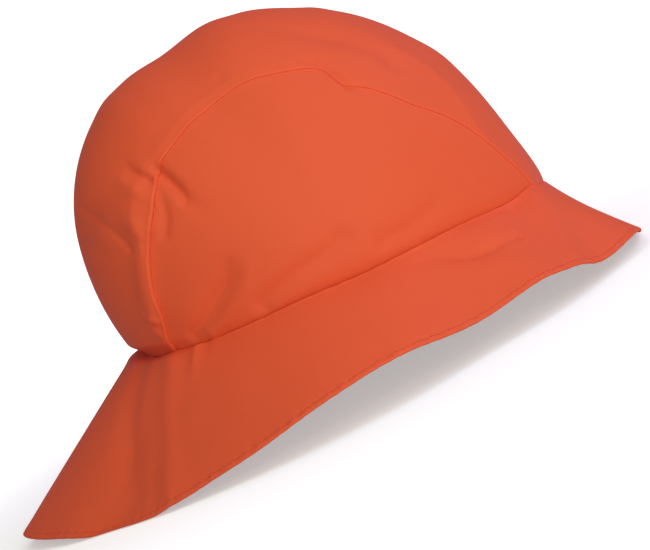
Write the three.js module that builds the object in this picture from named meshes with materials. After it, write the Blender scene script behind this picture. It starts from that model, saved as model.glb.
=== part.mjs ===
// A sou'wester: a rain hat sewn from four pieces of coated cloth, standing on the edge of its brim.
// Millimetres. +X points to the front of the hat, +Y to the wearer's left, +Z up, and the floor is at z = 0.
// The crown is worked out around the middle of the head opening, then the whole hat is leaned and set down.

import * as THREE from "three";
import { mergeVertices } from "three/addons/utils/BufferGeometryUtils.js";

// Driving sizes
const HEAD_LENGTH = 206; // head opening, front to back
const HEAD_WIDTH = 175; // head opening, side to side
const CROWN_RISE = 127; // top of the crown above the middle of the opening
const RIM_ARCH = 5.2; // how far the opening's edge rises over its front end, at most
const FRONT_REACH = 49; // cloth from the crown to the brim's edge, at the front
const FLAP_REACH = 98; // the same at the back, over the neck
const CROWN_WALL = 1.5; // seamed cloth of the crown
const BRIM_WALL = 2; // two layers of cloth
const HEM_WIDTH = 5; // cloth turned under along the brim's edge
const HEM_WALL = 2.6; // thickness with the hem turned under
const SEAM_GAP = 0.3; // clearance between pieces
const RIM_TUCK = 1.6; // how far the seam between crown and brim pulls the crown in
const TUCK_HEIGHT = 5; // height over which that pull fades
const BRIM_BOW = 1.3; // how far the brim bulges over a straight line from crown to edge
const FLOOR_PRESS = 2.5; // depth of edge that the floor flattens where the hat rests
const FLAT_WIDTH = 1.6; // width of hem that lies flat on the floor there
const ROUNDNESS = 2.1; // exponent of the crown's rounded sections, 2 for an ellipse
const FOLD_START = 0.2; // share of the brim over which its folds grow from the seam

// Numbers of grid steps, along and across each piece, and fine steps of the working out
const SEAM_STEPS = 40; // the strip and the side panels share the steps along their seam
const STRIP_ACROSS_STEPS = 14;
const SIDE_UP_STEPS = 10;
const BRIM_ROUND_STEPS = 96;
const BRIM_ROWS = [0, 0.07, 0.24, 0.43, 0.62, 0.81]; // shares of the cloth inside the hem
const HEM_STEP = 0.3; // half the width of the step in thickness where the hem begins, in mm
const EDGE_STEP = 3; // degrees between the points of the edge that are tried for the resting pose
const NEAR = 0.5; // degrees to a neighbouring point that gives a direction
const PASSES = 8; // passes that find where a line meets the rim
const TINY = 1e-6; // keeps a division safe where a length is nothing
const SAME_POINT = 1e-4; // corners nearer than this are one, in mm

// Crown outline seen from the side. fan: degrees from the front of the opening over the top to its back.
// out: distance from the middle of the opening, as a share of HEAD_LENGTH / 2 ahead and of CROWN_RISE up.
const OUTLINE = [
  { fan: 0, out: 1 },
  { fan: 15, out: 0.95 },
  { fan: 30, out: 0.953 },
  { fan: 45, out: 0.952 },
  { fan: 60, out: 0.958 },
  { fan: 75, out: 0.964 },
  { fan: 90, out: 0.994 },
  { fan: 97, out: 1.013 },
  { fan: 111, out: 1.027 },
  { fan: 122, out: 1.087 },
  { fan: 136, out: 1.141 },
  { fan: 150, out: 1.147 },
  { fan: 165, out: 1.086 },
  { fan: 180, out: 0.995 },
];

// The seam between the centre strip and a side panel. side: its distance from the middle as a share of
// HEAD_WIDTH / 2, on the right and on the left, where the right one has an S bend near the top.
const SEAM = [
  { fan: 0, right: 0.52, left: 0.52 },
  { fan: 8, right: 0.57, left: 0.56 },
  { fan: 20, right: 0.625, left: 0.615 },
  { fan: 32, right: 0.676, left: 0.66 },
  { fan: 43, right: 0.72, left: 0.685 },
  { fan: 50, right: 0.73, left: 0.69 },
  { fan: 60, right: 0.732, left: 0.688 },
  { fan: 67, right: 0.733, left: 0.683 },
  { fan: 71, right: 0.72, left: 0.68 },
  { fan: 73.5, right: 0.69, left: 0.677 },
  { fan: 76, right: 0.671, left: 0.674 },
  { fan: 88, right: 0.675, left: 0.667 },
  { fan: 97, right: 0.672, left: 0.666 },
  { fan: 105, right: 0.661, left: 0.666 },
  { fan: 111, right: 0.661, left: 0.666 },
  { fan: 119, right: 0.672, left: 0.668 },
  { fan: 128, right: 0.68, left: 0.674 },
  { fan: 135, right: 0.675, left: 0.68 },
  { fan: 140, right: 0.691, left: 0.683 },
  { fan: 148, right: 0.7, left: 0.684 },
  { fan: 157, right: 0.676, left: 0.668 },
  { fan: 164, right: 0.651, left: 0.648 },
  { fan: 171, right: 0.627, left: 0.616 },
  { fan: 176, right: 0.585, left: 0.585 },
  { fan: 180, right: 0.54, left: 0.55 },
];

// The rim, where crown and brim meet, and the brim all round. turn: degrees from the front. rim: height
// as a share of RIM_ARCH. reach: 0 is FRONT_REACH and 1 is FLAP_REACH. fall: degrees below the opening's
// plane, on the right and on the left, whose wobble is the edge's waves.
const BRIM = [
  { turn: 0, rim: 0, reach: 0, right: 50.5, left: 50.5 },
  { turn: 15, rim: 0.55, reach: 0.01, right: 48, left: 47.5 },
  { turn: 30, rim: 0.8, reach: 0.035, right: 41, left: 43 },
  { turn: 45, rim: 0.82, reach: 0.035, right: 44, left: 40.5 },
  { turn: 60, rim: 1, reach: 0.015, right: 37, left: 40.5 },
  { turn: 75, rim: 0.9, reach: 0.04, right: 42, left: 37 },
  { turn: 90, rim: 0.6, reach: 0.14, right: 33.2, left: 36.5 },
  { turn: 105, rim: 0.55, reach: 0.265, right: 34.3, left: 35 },
  { turn: 120, rim: 0.22, reach: 0.41, right: 38.8, left: 38.5 },
  { turn: 135, rim: -0.05, reach: 0.56, right: 42.3, left: 43 },
  { turn: 150, rim: 0.05, reach: 0.715, right: 45.2, left: 45 },
  { turn: 165, rim: 0.1, reach: 0.845, right: 38.8, left: 38.3 },
  { turn: 180, rim: 0, reach: 0.98, right: 34.4, left: 34.4 },
];

// Dents and folds of the crown. fan and side: place in degrees over the top and across, left positive.
// lie: degrees of the fold's line from the front-to-back way. long, wide and rise: shares of CROWN_RISE.
const CROWN_FOLDS = [
  { fan: 137.5, side: -47.5, lie: -59, long: 0.09, wide: 0.035, rise: -0.015 },
  { fan: 139, side: -38, lie: 90, long: 0.07, wide: 0.03, rise: -0.012 },
  { fan: 149, side: -40, lie: 90, long: 0.07, wide: 0.045, rise: 0.012 },
  { fan: 152, side: -18, lie: 64, long: 0.16, wide: 0.045, rise: -0.016 },
  { fan: 163, side: -38, lie: 12, long: 0.27, wide: 0.04, rise: 0.012 },
  { fan: 168, side: -57, lie: 25, long: 0.22, wide: 0.065, rise: -0.018 },
  { fan: 67, side: -30, lie: 7, long: 0.22, wide: 0.045, rise: -0.01 },
  { fan: 52, side: -35, lie: 10, long: 0.07, wide: 0.035, rise: -0.008 },
  { fan: 150, side: 30, lie: 100, long: 0.12, wide: 0.05, rise: -0.014 },
  { fan: 160, side: 56, lie: -28, long: 0.2, wide: 0.065, rise: -0.018 },
  { fan: 40, side: 52, lie: -60, long: 0.16, wide: 0.06, rise: -0.012 },
  { fan: 95, side: 14, lie: 80, long: 0.2, wide: 0.08, rise: -0.008 },
];

// Dents and folds of the brim. turn: degrees from the front, right side negative. out: share of the way
// from crown to edge. lie: degrees from the way round. long, wide and rise: shares of FRONT_REACH.
const BRIM_FOLDS = [
  { turn: -68, out: 0.45, lie: 37, long: 0.5, wide: 0.12, rise: -0.045 },
  { turn: -137, out: 0.14, lie: 90, long: 0.24, wide: 0.13, rise: -0.035 },
  { turn: -142, out: 0.55, lie: 90, long: 0.55, wide: 0.19, rise: -0.05 },
  { turn: 138, out: 0.5, lie: 98, long: 0.6, wide: 0.2, rise: -0.05 },
  { turn: 62, out: 0.5, lie: -30, long: 0.5, wide: 0.14, rise: -0.04 },
];

// Cloth colour and finish, for all four pieces
const CLOTH = { color: 0xe05a35, roughness: 0.55, metalness: 0 };

const HALF = new THREE.Vector3(HEAD_LENGTH / 2, HEAD_WIDTH / 2, CROWN_RISE);
const UP = new THREE.Vector3(0, 0, 1);
const radians = THREE.MathUtils.degToRad;
const degrees = THREE.MathUtils.radToDeg;

// Smooth curve through a table's rows: a cubic whose slopes come from the neighbouring rows. A table that
// goes on as its own mirror image past its ends is level there.
function readTable(rows, at, key, value, mirrored = false) {
  const last = rows.length - 1;
  let i = 0;
  while (i < last - 1 && at > rows[i + 1][key]) i += 1;
  const low = rows[i];
  const high = rows[i + 1];
  const step = high[key] - low[key];
  const slope = (k) => {
    if (mirrored && (k === 0 || k === last)) return 0;
    const before = rows[Math.max(k - 1, 0)];
    const after = rows[Math.min(k + 1, last)];
    return ((after[value] - before[value]) / (after[key] - before[key])) * step;
  };
  const t = THREE.MathUtils.clamp((at - low[key]) / step, 0, 1);
  const rise = 3 * t * t - 2 * t * t * t;
  return (
    low[value] * (1 - rise) + high[value] * rise +
    slope(i) * (t * t * t - 2 * t * t + t) + slope(i + 1) * (t * t * t - t * t)
  );
}

// Height of one soft fold at a place that is (ahead, across) millimetres from its middle.
function foldHeight(fold, unit, ahead, across) {
  const c = Math.cos(radians(fold.lie));
  const s = Math.sin(radians(fold.lie));
  const along = (ahead * c + across * s) / (fold.long * unit);
  const beside = (across * c - ahead * s) / (fold.wide * unit);
  return fold.rise * unit * Math.exp(-along * along - beside * beside);
}

// Crown: places on it are directions from the middle of the opening, in units of HALF

const outlineAt = (fan) => readTable(OUTLINE, fan, "fan", "out");
const fanOf = (p) => degrees(Math.atan2(Math.max(p.z, 0), p.x));

// Stretches a direction until it ends on the crown: (rho / outline)^n + |y|^n = 1.
function ontoCrown(direction) {
  const rho = Math.hypot(direction.x, direction.z) / outlineAt(fanOf(direction));
  const size = rho ** ROUNDNESS + Math.abs(direction.y) ** ROUNDNESS;
  return direction.clone().multiplyScalar(size ** (-1 / ROUNDNESS));
}

// Outward direction of the crown's surface at a point on it, from the gradient of its formula.
function crownNormal(p) {
  const fan = fanOf(p);
  const out = outlineAt(fan);
  const rho = Math.max(Math.hypot(p.x, p.z), TINY);
  const next = Math.min(fan + NEAR, 180);
  const before = Math.max(fan - NEAR, 0);
  const turnRate = (outlineAt(next) - outlineAt(before)) / radians(next - before);
  const alongRho = (rho / out) ** (ROUNDNESS - 1) / out;
  const alongFan = (-((rho / out) ** ROUNDNESS) * turnRate) / out / rho;
  const across = Math.sign(p.y) * Math.abs(p.y) ** (ROUNDNESS - 1);
  return new THREE.Vector3(
    alongRho * (p.x / rho) - alongFan * (p.z / rho),
    across,
    alongRho * (p.z / rho) + alongFan * (p.x / rho),
  ).divide(HALF).normalize();
}

// A turn in degrees, brought to -180 to 180.
const nearestTurn = (turn) => THREE.MathUtils.euclideanModulo(turn + 180, 360) - 180;

// Height of the rim over the opening's plane at a turn, in units of CROWN_RISE.
function rimHeight(turn) {
  const at = Math.abs(nearestTurn(turn));
  return (RIM_ARCH * readTable(BRIM, at, "turn", "rim", true)) / CROWN_RISE;
}

// Folds plus the pull of the rim seam, in millimetres along the outward direction.
function crownRelief(p) {
  const fan = fanOf(p);
  const side = Math.asin(THREE.MathUtils.clamp(p.y, -1, 1));
  const turn = degrees(Math.atan2(p.y, p.x));
  const aboveRim = (p.z - rimHeight(turn)) * CROWN_RISE;
  let relief = -RIM_TUCK * Math.exp(-Math.max(aboveRim, 0) / TUCK_HEIGHT);
  for (const fold of CROWN_FOLDS) {
    const ahead = radians(fan - fold.fan) * CROWN_RISE;
    const across = ((side - radians(fold.side)) * HEAD_WIDTH) / 2;
    relief += foldHeight(fold, CROWN_RISE, ahead, across);
  }
  return relief;
}

// Outer and inner points of the crown's wall, in millimetres, for a place on the unit crown.
function crownWall(p) {
  const normal = crownNormal(p);
  const outer = p.clone().multiply(HALF).addScaledVector(normal, crownRelief(p));
  return [outer, outer.clone().addScaledVector(normal, -CROWN_WALL)];
}

// Point of the crown at a fan angle and a share of the half width.
function crownAt(fan, y) {
  const rho = outlineAt(fan) * (1 - Math.abs(y) ** ROUNDNESS) ** (1 / ROUNDNESS);
  return new THREE.Vector3(rho * Math.cos(radians(fan)), y, rho * Math.sin(radians(fan)));
}

// Point of the rim at a turn in degrees, raised by some millimetres.
function rimAt(turn, raise = 0) {
  const height = rimHeight(turn) + raise / CROWN_RISE;
  return ontoCrown(new THREE.Vector3(Math.cos(radians(turn)), Math.sin(radians(turn)), height));
}

// Share of the half width at which a seam runs, moved out by some millimetres.
function seamAt(fan, hand, moved) {
  return hand * (readTable(SEAM, fan, "fan", hand < 0 ? "right" : "left") + moved / HALF.y);
}

// Where a line at a share of the seam's distance meets the rim: its fan angle and turn there.
function lineEnd(share, hand, moved, back) {
  let fan = back ? 180 : 0;
  let turn = fan;
  for (let i = 0; i < PASSES; i += 1) {
    const y = share * seamAt(fan, hand, moved);
    const stretch = rimAt(turn, SEAM_GAP).y / Math.sin(radians(turn)) || 1;
    const lean = degrees(Math.asin(THREE.MathUtils.clamp(y / stretch, -1, 1)));
    turn = back ? hand * 180 - lean : lean;
    fan = fanOf(rimAt(turn, SEAM_GAP));
  }
  return { fan, turn };
}

// Grid of wall points for the centre strip, from the front of the opening to its back.
function stripGrid() {
  return grid(SEAM_STEPS, STRIP_ACROSS_STEPS, (u, v) => {
    const share = 2 * v - 1;
    const hand = share < 0 ? -1 : 1;
    const front = lineEnd(Math.abs(share), hand, -SEAM_GAP / 2, false).fan;
    const back = lineEnd(Math.abs(share), hand, -SEAM_GAP / 2, true).fan;
    const fan = front + (back - front) * u;
    return crownWall(crownAt(fan, Math.abs(share) * seamAt(fan, hand, -SEAM_GAP / 2)));
  });
}

// Grid of wall points for a side panel, from the rim up to the seam. hand: -1 right, 1 left.
function sideGrid(hand) {
  const front = lineEnd(1, hand, SEAM_GAP / 2, false);
  const back = lineEnd(1, hand, SEAM_GAP / 2, true);
  return grid(SEAM_STEPS, SIDE_UP_STEPS, (u, v) => {
    const low = rimAt(front.turn + (back.turn - front.turn) * u, SEAM_GAP);
    const fan = front.fan + (back.fan - front.fan) * u;
    const high = crownAt(fan, seamAt(fan, hand, SEAM_GAP / 2));
    return crownWall(ontoCrown(low.lerp(high, v)));
  });
}

// Brim: cloth that leaves the rim outwards and down

// Reach and fall of the brim at a turn, -180 to 180 degrees, right side negative.
function brimRow(turn) {
  const at = Math.abs(turn);
  return {
    reach: FRONT_REACH + (FLAP_REACH - FRONT_REACH) * readTable(BRIM, at, "turn", "reach", true),
    fall: radians(readTable(BRIM, at, "turn", turn < 0 ? "right" : "left", true)),
  };
}

// Level direction straight out of the rim at a turn.
function rimOutward(turn) {
  const along = rimAt(turn + NEAR).sub(rimAt(turn - NEAR)).multiply(HALF);
  return along.cross(UP).setZ(0).normalize();
}

// Top and bottom points of the brim at a turn and a distance from the rim, as a share of the reach.
function brimWall(turn, share) {
  const { reach, fall } = brimRow(turn);
  const rim = rimAt(turn);
  const [start, seamInner] = crownWall(rim);
  const outward = rimOutward(turn);
  const slopeDown = outward.clone().multiplyScalar(Math.cos(fall)).addScaledVector(UP, -Math.sin(fall));
  const over = outward.clone().multiplyScalar(Math.sin(fall)).addScaledVector(UP, Math.cos(fall));
  const grown = Math.min(share / FOLD_START, 1);
  let relief = BRIM_BOW * Math.sin(Math.PI * Math.sqrt(share));
  for (const fold of BRIM_FOLDS) {
    const round = radians(nearestTurn(turn - fold.turn)) * (HALF.y + share * reach);
    relief += grown * foldHeight(fold, FRONT_REACH, round, (share - fold.out) * reach);
  }
  const top = start.clone().addScaledVector(slopeDown, share * reach).addScaledVector(over, relief);
  const fromEdge = (1 - share) * reach;
  const wall = fromEdge > HEM_WIDTH ? BRIM_WALL : HEM_WALL;
  const inward = over.clone().multiplyScalar(-wall);
  const atSeam = seamInner.sub(start);
  const bottom = top.clone().add(atSeam.lerp(inward, Math.min((share * reach) / HEM_WIDTH, 1)));
  return [top, bottom];
}

// Grid of wall points round the brim. Its last rows are the turned hem and the part that lies flat.
function brimGrid() {
  const rows = BRIM_ROWS.length + 3;
  return grid(BRIM_ROUND_STEPS, rows, (u, v) => {
    const turn = 360 * u - 180;
    const { reach } = brimRow(turn);
    const hem = 1 - HEM_WIDTH / reach;
    const inside = BRIM_ROWS.map((share) => share * hem);
    const step = HEM_STEP / reach;
    const shares = [...inside, hem - step, hem + step, 1 - FLAT_WIDTH / reach, 1];
    return brimWall(turn, shares[Math.round(v * rows)]);
  });
}

// Setting the hat down

// The lean and lift at which the brim's edge rests on the floor ahead of and behind the middle: the
// lowest line over two points of the edge, seen from the side, that passes under the middle.
function restingPose() {
  const edge = [];
  for (let turn = -180; turn < 180; turn += EDGE_STEP) edge.push(brimWall(turn, 1)[1]);
  let best = { height: Infinity, lean: 0 };
  for (const fore of edge.filter((p) => p.x > 0)) {
    for (const aft of edge.filter((p) => p.x < 0)) {
      const slope = (fore.z - aft.z) / (fore.x - aft.x);
      const height = fore.z - slope * fore.x;
      if (height < best.height) best = { height, lean: Math.atan(slope) };
    }
  }
  const lift = -best.height * Math.cos(best.lean) - FLOOR_PRESS;
  return new THREE.Matrix4().makeTranslation(0, 0, lift)
    .multiply(new THREE.Matrix4().makeRotationY(best.lean));
}

// Flattens a wall where it would sink into the floor, keeping its thickness.
function ontoFloor([upper, lower], pose) {
  upper.applyMatrix4(pose);
  lower.applyMatrix4(pose);
  lower.z = Math.max(lower.z, 0);
  upper.z = Math.max(upper.z, BRIM_WALL);
}

// Closed bodies

// Rows of [outer, inner] points at even steps of u and v from 0 to 1.
function grid(along, across, wallAt) {
  const rows = [];
  for (let i = 0; i <= along; i += 1) {
    const row = [];
    for (let j = 0; j <= across; j += 1) row.push(wallAt(i / along, j / across));
    rows.push(row);
  }
  return rows;
}

// One closed shell: the outer sheet, the inner sheet turned over, and a strip along each open border.
// round: the first and last rows are the same, so the shell is a ring.
function shellGeometry(rows, round) {
  const along = rows.length - 1;
  const across = rows[0].length - 1;
  const corners = [];
  const quad = (a, b, c, d) => corners.push(a, b, c, a, c, d);
  const point = (i, j, side) => rows[round && i === along ? 0 : i][j][side];
  for (let i = 0; i < along; i += 1) {
    for (let j = 0; j < across; j += 1) {
      quad(point(i, j, 0), point(i + 1, j, 0), point(i + 1, j + 1, 0), point(i, j + 1, 0));
      quad(point(i, j, 1), point(i, j + 1, 1), point(i + 1, j + 1, 1), point(i + 1, j, 1));
    }
    quad(point(i, 0, 0), point(i, 0, 1), point(i + 1, 0, 1), point(i + 1, 0, 0));
    quad(point(i, across, 0), point(i + 1, across, 0), point(i + 1, across, 1), point(i, across, 1));
  }
  for (let j = 0; j < across && !round; j += 1) {
    quad(point(0, j, 0), point(0, j + 1, 0), point(0, j + 1, 1), point(0, j, 1));
    quad(point(along, j, 0), point(along, j, 1), point(along, j + 1, 1), point(along, j + 1, 0));
  }
  const soup = new THREE.BufferGeometry().setFromPoints(corners);
  return withoutSlivers(mergeVertices(soup, SAME_POINT));
}

// Drops the triangles that have no area because a border of the grid ends in one point.
function withoutSlivers(geometry) {
  const index = geometry.getIndex().array;
  const kept = [];
  for (let i = 0; i < index.length; i += 3) {
    const [a, b, c] = index.slice(i, i + 3);
    if (a !== b && b !== c && c !== a) kept.push(a, b, c);
  }
  geometry.setIndex(kept);
  return geometry;
}

// Turns a shell's faces over when they point inwards, by the sign of its volume.
function facingOut(geometry) {
  const index = geometry.getIndex().array;
  const place = geometry.getAttribute("position");
  const at = (k) => new THREE.Vector3().fromBufferAttribute(place, index[k]);
  let volume = 0;
  for (let i = 0; i < index.length; i += 3) volume += at(i).dot(at(i + 1).cross(at(i + 2)));
  if (volume < 0) geometry.setIndex([...index].reverse());
  return geometry;
}

function piece(name, rows, round, pose) {
  rows.forEach((row) => row.forEach((wall) => ontoFloor(wall, pose)));
  const geometry = facingOut(shellGeometry(rows, round));
  geometry.computeVertexNormals();
  const mesh = new THREE.Mesh(geometry, new THREE.MeshStandardMaterial(CLOTH));
  mesh.name = name;
  return mesh;
}

const pose = restingPose();
const hat = new THREE.Group();
hat.add(piece("crown_strip", stripGrid(), false, pose));
hat.add(piece("crown_side_right", sideGrid(-1), false, pose));
hat.add(piece("crown_side_left", sideGrid(1), false, pose));
hat.add(piece("brim", brimGrid(), true, pose));

// The origin is under the middle of the hat's box, on the floor.
const middle = new THREE.Box3().setFromObject(hat).getCenter(new THREE.Vector3());
hat.position.set(-middle.x, -middle.y, 0);

export default hat;
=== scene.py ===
import math

import bpy
import numpy as np
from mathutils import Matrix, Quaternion, Vector


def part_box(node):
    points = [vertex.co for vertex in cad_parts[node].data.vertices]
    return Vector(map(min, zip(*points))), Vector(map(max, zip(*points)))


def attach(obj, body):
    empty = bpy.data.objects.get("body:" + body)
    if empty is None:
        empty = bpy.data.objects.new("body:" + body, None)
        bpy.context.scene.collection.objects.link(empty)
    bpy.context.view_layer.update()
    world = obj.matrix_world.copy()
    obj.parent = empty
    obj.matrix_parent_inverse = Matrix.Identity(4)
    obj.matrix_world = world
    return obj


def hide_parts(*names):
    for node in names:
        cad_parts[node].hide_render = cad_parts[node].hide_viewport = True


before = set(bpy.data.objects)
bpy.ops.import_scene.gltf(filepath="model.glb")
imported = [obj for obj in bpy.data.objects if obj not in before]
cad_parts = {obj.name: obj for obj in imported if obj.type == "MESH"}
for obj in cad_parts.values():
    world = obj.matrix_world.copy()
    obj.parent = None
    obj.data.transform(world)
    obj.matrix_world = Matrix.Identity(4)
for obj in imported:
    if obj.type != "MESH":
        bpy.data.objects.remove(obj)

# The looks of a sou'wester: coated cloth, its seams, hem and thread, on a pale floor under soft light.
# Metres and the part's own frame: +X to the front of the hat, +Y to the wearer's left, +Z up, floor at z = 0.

SCENE = bpy.context.scene
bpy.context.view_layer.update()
MM = 0.001

# Driving sizes, the same as the part's own
HEAD_LENGTH = 206 * MM  # head opening, front to back
HEAD_WIDTH = 175 * MM  # head opening, side to side
CROWN_RISE = 127 * MM  # top of the crown above the middle of the opening
RIM_ARCH = 5.2 * MM  # how far the opening's edge rises over its front end, at most
FRONT_REACH = 49 * MM  # cloth from the crown to the brim's edge, at the front
FLAP_REACH = 98 * MM  # the same at the back, over the neck
RIM_TUCK = 1.6 * MM  # how far the seam between crown and brim pulls the crown in
TUCK_HEIGHT = 5 * MM  # height over which that pull fades
BRIM_BOW = 1.3 * MM  # how far the brim bulges over a straight line from crown to edge
FLOOR_PRESS = 2.5 * MM  # depth of edge that the floor flattens where the hat rests
PRESS_ROUND = 0.6 * MM  # how softly the pressed edge bends up from the floor
BRIM_WALL = 2.6 * MM  # the part's own hem thickness, which its resting pose comes from
ROUNDNESS = 2.1  # exponent of the crown's rounded sections, 2 for an ellipse
FOLD_START = 0.2  # share of the brim over which its folds grow from the seam

# Cloth as it looks: thinner than the part's solid walls
CLOTH = 1.1 * MM  # thickness of one layer with its coating
HEM_CLOTH = 1.4 * MM  # thickness at the hem, turned once
HEM_WIDTH = 2.6 * MM  # from the brim's edge in to the line of stitches
HEM_TURN = 1.1 * MM  # cloth under the hem past the stitches
SEAM_GAP = 0.02 * MM  # between the edges of two pieces
EDGE_ROLL = 0.06 * MM  # radius over which a seamed edge rolls in
RIM_ROLL = 0.14 * MM  # the same at the rim
BRIM_ROLL = 0.28 * MM  # the same where the brim starts
CORNER_ROUND = 0.9 * MM  # roundness of the strip's soft corner
REAR_TUCK = 4.6 * MM  # how far the rim seam is drawn in at the back instead, under the crown
REAR_DROP = 3 * MM  # how much lower it lies there
REAR_FADE = 4.2 * MM  # height of that step in the crown
BRIM_FADE = 2.5 * MM  # distance over which the brim comes back out
REAR_SHOULDER = 0.5 * MM  # height of the brim's soft shoulder just outside it
HIGHLIGHT_LINE = 1.3 * MM  # distance from the rim of the line on the brim along which a highlight is painted into the colour
FRONT_HOLLOW = 3.2 * MM  # how far the brim sags in front, against the part's bow
HEM_OUT = 1.1 * MM  # how far the hem reaches past the part's own edge, but not in front
REAR_SPREAD = 34  # degrees from the back over which the deeper rear seam fades
FRONT_SPREAD = 26  # the same from the front, for the brim's sag and its hem
STITCH = 2.9 * MM  # pitch of the hem's stitches
STITCH_SHARE = 0.72  # share of the pitch that each stitch shows
THREAD = 0.34 * MM  # thickness of the thread
TAPE = 14 * MM  # width of the two seam allowances inside a seam
TAPE_START = 4  # degrees from the rim to their ends
TAPE_CLOTH = 0.6 * MM  # their thickness

# Numbers of grid steps, along and across each piece
STRIP_STEPS = (330, 126)
SIDE_STEPS = (270, 112)
BRIM_STEPS = (880, 50)
HEM_STEPS = 1500
STITCH_STEPS = (5, 6)
TAPE_STEPS = (260, 13)
RIM_TAPE_STEPS = (720, 8)
EDGE_STEPS = 2880  # along the brim's edge, for its length and its middle
REST_STEP = 3.0  # degrees between places of the edge that may rest, as in the part
NEAR = 0.5  # degrees to a neighbouring point that gives a direction
PASSES = 8  # passes that find where a line meets the rim
TINY = 1e-9

# Relief of the crown's cloth beside its seams and its rim
VALLEY, VALLEY_WIDE = 0.1 * MM, 0.9 * MM  # depth and reach of the valley at a seam
PANEL_SINK, PANEL_WIDE = 0.3 * MM, 4.5 * MM  # the panel's drop beside it, and reach
RIDGE, RIDGE_AT, RIDGE_WIDE = 0.12 * MM, 0.9 * MM, 0.6 * MM  # thin ridge of the strip: height, place, width
REAR_SINK, REAR_RIDGE = 0.5 * MM, 0.16 * MM  # how much more both are at the rear
REAR_FROM, REAR_ONSET = 134, 3  # degrees over the top where the rear starts, and over which it does
CORNER_FADES = (12 * MM, 3.4 * MM)  # distances over which the strip's corner fades, from the seam and to it
FRONT_FADE, FRONT_FAN = 6 * MM, 28  # how much more at the front, and over how many degrees
RIM_SINK, RIM_SINK_WIDE = 0.9 * MM, 2.6 * MM  # how far the sides sink at the rim
SIDES_AT, SIDES_WIDE = 85, 50  # degrees from the front to the middle of a side, and on to its ends
REAR_GATHERS = (147, 6, 2.2, 0.4)  # degrees where the seam gathers most, over how many, how much, and least
CROWN_SLACK, BRIM_SLACK = (46 * MM, 0.2 * MM), (40 * MM, 0.22 * MM)  # wave and height of slack cloth

# Relief of the brim's cloth
SHOULDER_AT, SHOULDER_WIDE = 5 * MM, 3.5 * MM  # place and width of the rear shoulder
LIP_HEIGHT, LIP_AT, LIP_WIDE = 0.35 * MM, 0.9 * MM, 0.8 * MM  # rounded lip along the rim
LIP_SIDE, LIP_SPREAD = 105, 45  # the same for the lip
GROOVE, GROOVE_WIDE = 0.08 * MM, 0.5 * MM  # groove that the stitches pull
PUFF, PUFF_WIDE = 0.07 * MM, 1.6 * MM  # how far the hem stands up at each stitch
TAUT = 8 * MM  # distance from the rim over which the brim grows slack

# Gathers: height, pitch, start of the waves and distance over which they fade, lengths in millimetres
SEAM_GATHERS = (0.14, 3.1, 1.3, 2.6)
RIM_GATHERS = (0.1, 6, 0.4, 4)
BRIM_GATHERS = (0.12, 7, 0.9, 6)
HEM_GATHERS = (0.2, 6.38, 0.7, 3)

HALF = np.array([HEAD_LENGTH / 2, HEAD_WIDTH / 2, CROWN_RISE])
UP = np.array([0.0, 0.0, 1.0])

# Crown outline from the side: degrees from the front of the opening over its top, and distance from the
# opening's middle as a share of HALF.
OUTLINE = (
    (0, 1), (15, 0.95), (30, 0.953), (45, 0.952), (60, 0.958), (75, 0.964), (90, 0.994),
    (97, 1.013), (111, 1.027), (122, 1.087), (136, 1.141), (150, 1.147), (165, 1.086), (180, 0.995),
)

# Seam between the strip and a side panel: degrees over the top, then its distance from the middle as a
# share of HEAD_WIDTH / 2, on the right and on the left.
SEAM = (
    (0, 0.52, 0.52), (8, 0.57, 0.56), (20, 0.625, 0.615), (32, 0.676, 0.66), (43, 0.72, 0.685),
    (50, 0.73, 0.69), (60, 0.732, 0.688), (67, 0.733, 0.683), (71, 0.72, 0.68), (73.5, 0.69, 0.677),
    (76, 0.671, 0.674), (88, 0.675, 0.667), (97, 0.672, 0.666), (105, 0.661, 0.666), (111, 0.661, 0.666),
    (119, 0.672, 0.668), (128, 0.68, 0.674), (135, 0.675, 0.68), (140, 0.691, 0.683), (148, 0.7, 0.684),
    (157, 0.676, 0.668), (164, 0.651, 0.648), (171, 0.627, 0.616), (176, 0.585, 0.585), (180, 0.54, 0.55),
)

# Brim: degrees from the front, the rim's height as a share of RIM_ARCH, the reach from FRONT_REACH (0) to
# FLAP_REACH (1), and the fall below the opening's plane in degrees on the right and on the left.
BRIM = (
    (0, 0, 0, 50.5, 50.5), (15, 0.55, 0.01, 48, 47.5), (30, 0.8, 0.035, 41, 43),
    (45, 0.82, 0.035, 44, 40.5), (60, 1, 0.015, 37, 40.5), (75, 0.9, 0.04, 42, 37),
    (90, 0.6, 0.14, 33.2, 36.5), (105, 0.55, 0.265, 34.3, 35), (120, 0.22, 0.41, 38.8, 38.5),
    (135, -0.05, 0.56, 42.3, 43), (150, 0.05, 0.715, 45.2, 45), (165, 0.1, 0.845, 38.8, 38.3),
    (180, 0, 0.98, 34.4, 34.4),
)

# Soft dents and folds of the crown: degrees over the top and across (left positive), degrees of the fold's
# line from the front-to-back way, then its length, width and height as shares of CROWN_RISE.
CROWN_FOLDS = (
    (137.5, -47.5, -59, 0.09, 0.035, -0.015), (139, -38, 90, 0.07, 0.03, -0.012),
    (149, -40, 90, 0.07, 0.045, 0.012), (152, -18, 64, 0.16, 0.045, -0.016),
    (163, -38, 12, 0.27, 0.04, 0.012), (168, -57, 25, 0.22, 0.065, -0.018),
    (67, -30, 7, 0.22, 0.045, -0.01), (52, -35, 10, 0.07, 0.035, -0.008),
    (150, 30, 100, 0.12, 0.05, -0.014), (160, 56, -28, 0.2, 0.065, -0.018),
    (40, 52, -60, 0.16, 0.06, -0.012), (95, 14, 80, 0.2, 0.08, -0.008),
)

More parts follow.
